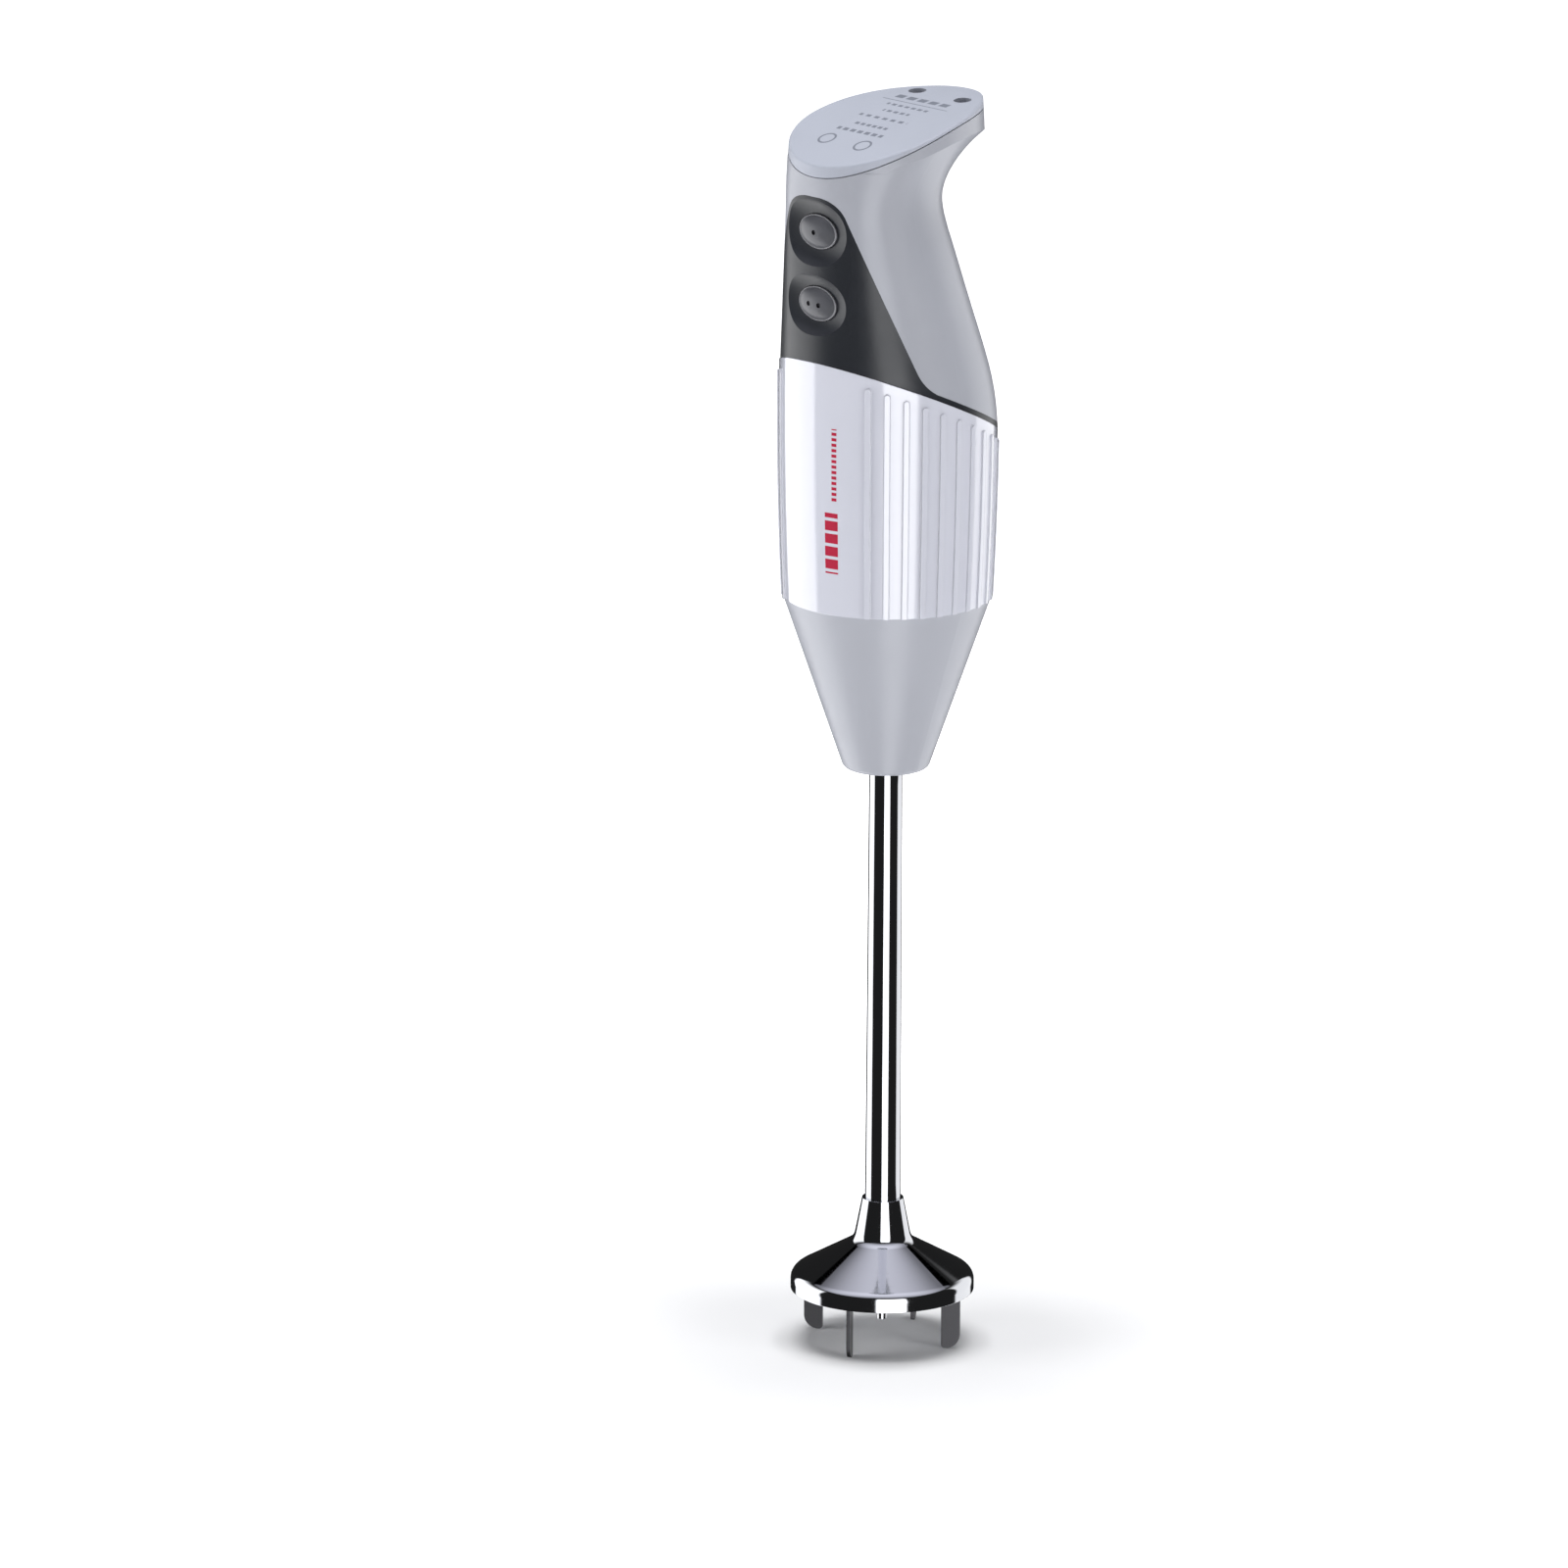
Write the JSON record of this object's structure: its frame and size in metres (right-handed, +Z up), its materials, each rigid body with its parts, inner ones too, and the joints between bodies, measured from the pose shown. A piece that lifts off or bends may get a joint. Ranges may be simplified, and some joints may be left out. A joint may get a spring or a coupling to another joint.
{
  "type": "immersion blender",
  "caption": "Upright corded wand blender with a beaked handle, domed push buttons, ribbed motor casing, long chromed shaft and an open bell guard on legs.",
  "frame": {"origin": "on the drive shaft's axis, level with the tips of the guard's legs", "axes": "+Z up along the shaft towards the cap; the buttons face -Y and the beak of the handle points to +Y"},
  "size_m": [0.0676, 0.0682, 0.3899],
  "materials": {
    "guard_chrome": "polished chrome plating",
    "tube_chrome": "polished chrome plating",
    "seal_rubber": "matte",
    "bronze_bush": "sintered",
    "nose_plastic": "fine matte",
    "plain_steel": "zinc plated",
    "casing_gloss": "high gloss, pale silver grey",
    "handle_satin": "satin silver grey",
    "panel_soft_dark": "soft-touch dark grey",
    "cap_plastic": "fine matte light grey",
    "button_grey": "satin mid grey",
    "switch_black": "moulded",
    "board_laminate": "paper laminate",
    "capacitor_plastic": "moulded",
    "core_steel": "stacked sheet edges",
    "winding_copper": "enamelled wire",
    "bracket_alloy": "die cast",
    "bracket_plastic": "glass filled",
    "bearing_steel": "ground",
    "brass_holder": "pressed",
    "carbon": "sintered",
    "spring_steel": "drawn wire",
    "shaft_steel": "ground",
    "commutator_copper": "turned"
  },
  "bodies": {
    "body": {"blade_guard": "guard_chrome", "shaft_tube": "tube_chrome", "shaft_seal": "seal_rubber", "tube_seal_ring": "seal_rubber", "lower_shaft_bush": "bronze_bush", "middle_shaft_bush": "bronze_bush", "upper_shaft_bush": "bronze_bush", "nose_cone": "nose_plastic", "tube_lock_nut": "plain_steel", "motor_casing": "casing_gloss", "handle_shell": "handle_satin", "control_panel": "panel_soft_dark", "top_cap": "cap_plastic", "cap_screws": "plain_steel", "cord_bush": "seal_rubber", "upper_switch_body": "switch_black", "lower_switch_body": "switch_black", "circuit_board": "board_laminate", "board_screws": "plain_steel", "suppression_capacitor": "capacitor_plastic", "speed_diode": "switch_black", "stator_core": "core_steel", "field_coils": "winding_copper", "motor_mount_ring": "seal_rubber", "lower_motor_bracket": "bracket_alloy", "lower_motor_bearing": "bearing_steel", "upper_motor_bracket": "bracket_plastic", "upper_motor_bearing": "bearing_steel", "motor_screws": "plain_steel", "brush_holders": "brass_holder", "carbon_brushes": "carbon", "brush_springs": "spring_steel"},
    "rotor": {"drive_shaft": "shaft_steel", "drive_hub": "bracket_alloy", "coupling_spider": "seal_rubber", "motor_hub": "bracket_alloy", "motor_shaft": "shaft_steel", "armature_core": "core_steel", "armature_windings": "winding_copper", "commutator": "commutator_copper"},
    "upper_key": {"upper_button": "button_grey", "upper_switch_plunger": "switch_black"},
    "lower_key": {"lower_button": "button_grey", "lower_switch_plunger": "switch_black"}
  },
  "joints": [
    {"name": "rotor_spin", "type": "hinge", "parent": "body", "child": "rotor", "pos_m": [0, 0, 0.2], "axis": [0, 0, 1], "continuous": true},
    {"name": "upper_button_press", "type": "slide", "parent": "body", "child": "upper_key", "axis": [0, 1, 0], "range_m": [0, 0.0015], "stiffness_N_per_m": 900},
    {"name": "lower_button_press", "type": "slide", "parent": "body", "child": "lower_key", "axis": [0, 1, 0], "range_m": [0, 0.0015], "stiffness_N_per_m": 900}
  ]
}
